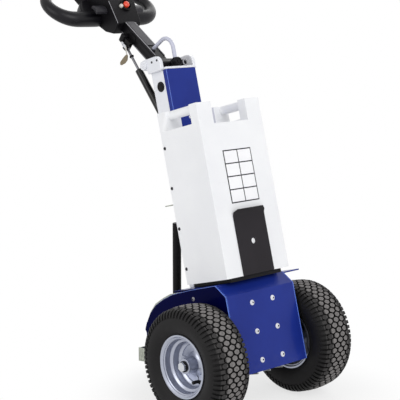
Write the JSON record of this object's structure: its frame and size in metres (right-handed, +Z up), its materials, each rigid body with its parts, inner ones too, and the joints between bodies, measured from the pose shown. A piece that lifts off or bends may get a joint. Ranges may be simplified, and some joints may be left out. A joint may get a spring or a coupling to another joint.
{
  "type": "electric tow tractor",
  "caption": "Walk-behind electric tow tractor: drive wheels with turf tyres, rear swivel wheel, leaning column with a lift-out battery case, sprung tiller with looped grips.",
  "frame": {"origin": "on the floor, under the middle of the bounding box", "axes": "+X to the operator's left, +Y back towards the operator, +Z up; the coupling plate faces -Y"},
  "size_m": [0.542, 0.9178, 1.1812],
  "materials": {
    "blue_paint": "gloss powder coat",
    "white_paint": "satin powder coat",
    "case_plastic": "smooth moulded",
    "battery": "plain block of battery density",
    "black_paint": "satin powder coat",
    "black_plastic": "fine grain",
    "lever_grey": "fine grain",
    "stop_red": "smooth",
    "conduit_grey": "smooth",
    "zinc": "bright zinc plate",
    "cast_alloy": "as cast",
    "tiller_profile": "black anodised",
    "rim_silver": "silver paint",
    "tyre_rubber": "matt",
    "caster_rubber": "matt"
  },
  "bodies": {
    "chassis": {"front_shell": "blue_paint", "cheek_left": "blue_paint", "cheek_right": "blue_paint", "side_tab": "blue_paint", "rear_cover": "zinc", "stem_clamp": "blue_paint", "stem": "black_paint", "gearbox": "cast_alloy", "motor": "black_paint", "axle_tubes": "black_paint", "stub_axles": "zinc", "battery_tray": "black_plastic", "battery_case": "case_plastic", "battery_block": "battery", "latch_plate": "black_paint", "column": "white_paint", "column_cover": "blue_paint", "column_plugs": "black_plastic", "cable_shelf": "zinc", "hinge_blocks": "white_paint", "hinge_shaft": "zinc", "cross_tube": "black_paint", "cable_gland": "black_plastic", "conduit": "conduit_grey", "gas_bracket": "white_paint"},
    "tiller": {"tiller_tube": "tiller_profile", "gas_ears": "black_paint", "key_switch": "black_plastic", "tiller_head": "black_plastic", "grips": "black_plastic", "thumb_levers": "lever_grey", "stop_button": "stop_red"},
    "gas_cylinder": {"gas_cylinder": "black_paint"},
    "gas_rod": {"gas_rod": "zinc"},
    "wheel_left": {"drive_rim_left": "rim_silver", "drive_tyre_left": "tyre_rubber"},
    "wheel_right": {"drive_rim_right": "rim_silver", "drive_tyre_right": "tyre_rubber"},
    "caster_swivel": {"caster_fork": "zinc", "caster_axle": "zinc"},
    "caster_roll": {"caster_wheel": "caster_rubber"}
  },
  "joints": [
    {"name": "wheel_left_spin", "type": "hinge", "parent": "chassis", "child": "wheel_left", "pos_m": [0.2075, -0.29392, 0.165], "axis": [1, 0, 0], "continuous": true},
    {"name": "wheel_right_spin", "type": "hinge", "parent": "chassis", "child": "wheel_right", "pos_m": [-0.2075, -0.29392, 0.165], "axis": [1, 0, 0], "continuous": true},
    {"name": "tiller_tilt", "type": "hinge", "parent": "chassis", "child": "tiller", "pos_m": [0, 0.08358, 0.95748], "axis": [1, 0, 0], "range_deg": [-20, 20], "deforming": ["conduit"]},
    {"name": "gas_pivot", "type": "hinge", "parent": "chassis", "child": "gas_cylinder", "pos_m": [-0.026, 0.04671, 0.80376], "axis": [1, 0, 0], "range_deg": [-15, 15]},
    {"name": "gas_slide", "type": "slide", "parent": "gas_cylinder", "child": "gas_rod", "axis": [0, 0.6488, 0.761], "range_m": [-0.032, 0.032]},
    {"name": "caster_turn", "type": "hinge", "parent": "chassis", "child": "caster_swivel", "pos_m": [0, 0.02008, 0.14], "axis": [0, 0, 1], "continuous": true},
    {"name": "caster_spin", "type": "hinge", "parent": "caster_swivel", "child": "caster_roll", "pos_m": [0, 0.09608, 0.0625], "axis": [1, 0, 0], "continuous": true}
  ],
  "couplings": [
    {"joint": "gas_pivot", "follows": "tiller_tilt", "ratio": 0.46605},
    {"joint": "gas_slide", "follows": "tiller_tilt", "m_per_rad": 0.071308}
  ]
}
